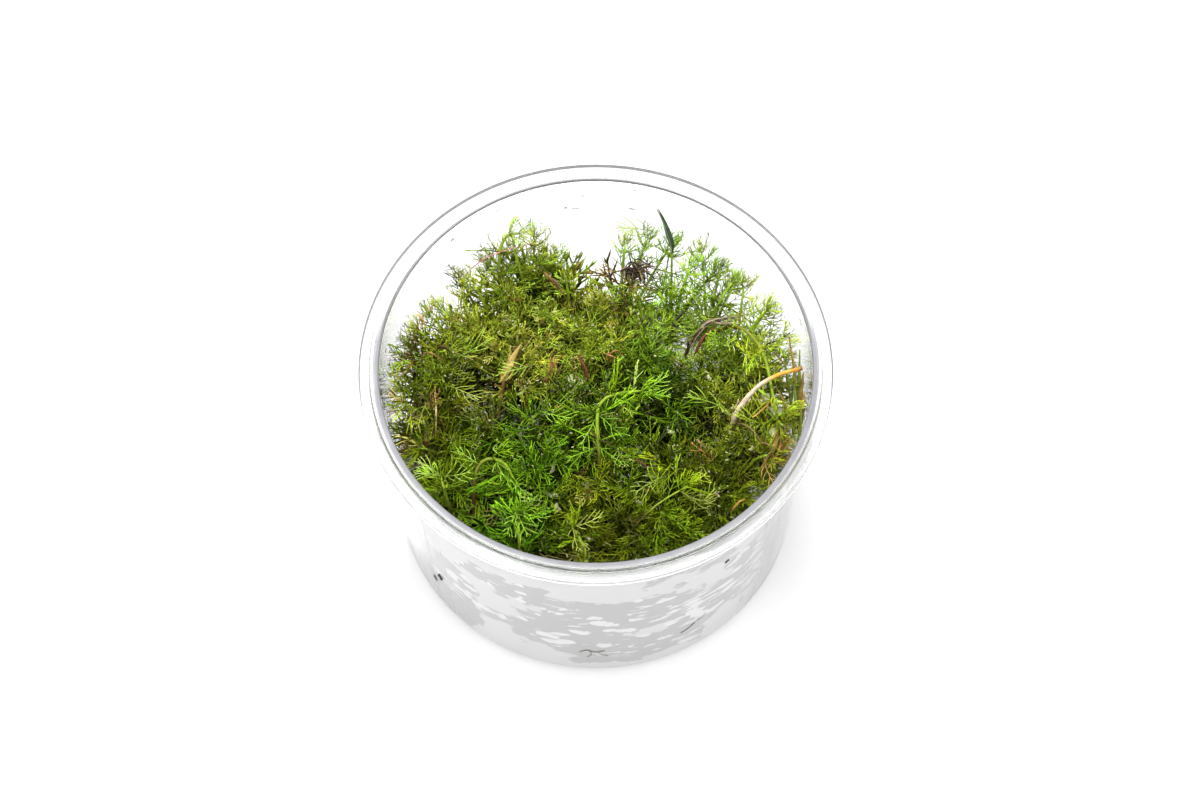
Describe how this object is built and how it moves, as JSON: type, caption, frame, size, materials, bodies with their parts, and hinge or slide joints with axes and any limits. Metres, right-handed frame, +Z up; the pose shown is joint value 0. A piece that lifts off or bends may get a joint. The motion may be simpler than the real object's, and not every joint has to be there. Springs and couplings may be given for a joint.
{
  "type": "parrot feather tissue culture cup",
  "caption": "Open clear plastic cup with a flanged rim, a layer of nutrient gel, and a dense tuft of fine feathery aquarium stem plants growing up from the gel.",
  "frame": {"origin": "centre of the cup's flat base", "axes": "+Z up along the cup's axis; +Y away from the viewer of the picture"},
  "size_m": [0.1, 0.1, 0.06],
  "materials": {
    "clear_plastic": "gloss",
    "gel": "gloss",
    "green_leaf": "satin",
    "olive_leaf": "satin",
    "dark_leaf": "satin",
    "tan_stem": "satin",
    "brown_stem": "matte"
  },
  "bodies": {
    "root": {"brown_blade": "brown_stem", "cup": "clear_plastic", "cut_stem": "tan_stem", "dead_stem": "brown_stem", "narrow_leaf": "dark_leaf", "nutrient_gel": "gel", "root_tangle": "brown_stem", "shoot_01": "green_leaf", "shoot_02": "green_leaf", "shoot_03": "olive_leaf", "shoot_04": "olive_leaf", "shoot_05": "olive_leaf", "shoot_06": "olive_leaf", "shoot_07": "olive_leaf", "shoot_08": "olive_leaf", "shoot_09": "green_leaf", "shoot_10": "green_leaf", "shoot_11": "green_leaf", "shoot_12": "green_leaf", "shoot_13": "green_leaf", "shoot_14": "green_leaf", "shoot_15": "green_leaf", "shoot_16": "green_leaf", "shoot_17": "green_leaf", "shoot_18": "green_leaf", "shoot_19": "green_leaf", "shoot_20": "green_leaf", "shoot_21": "green_leaf", "shoot_22": "green_leaf", "shoot_23": "green_leaf", "shoot_24": "green_leaf", "shoot_25": "green_leaf", "shoot_26": "green_leaf", "shoot_27": "green_leaf", "shoot_28": "green_leaf", "shoot_29": "green_leaf", "shoot_30": "green_leaf", "shoot_31": "green_leaf", "shoot_32": "green_leaf", "shoot_33": "green_leaf", "shoot_34": "green_leaf", "shoot_35": "green_leaf", "shoot_36": "green_leaf", "shoot_37": "green_leaf", "shoot_38": "green_leaf", "shoot_39": "green_leaf", "shoot_40": "green_leaf", "shoot_41": "green_leaf", "shoot_42": "green_leaf", "shoot_43": "green_leaf", "shoot_44": "green_leaf", "tan_blade": "tan_stem"}
  },
  "joints": []
}
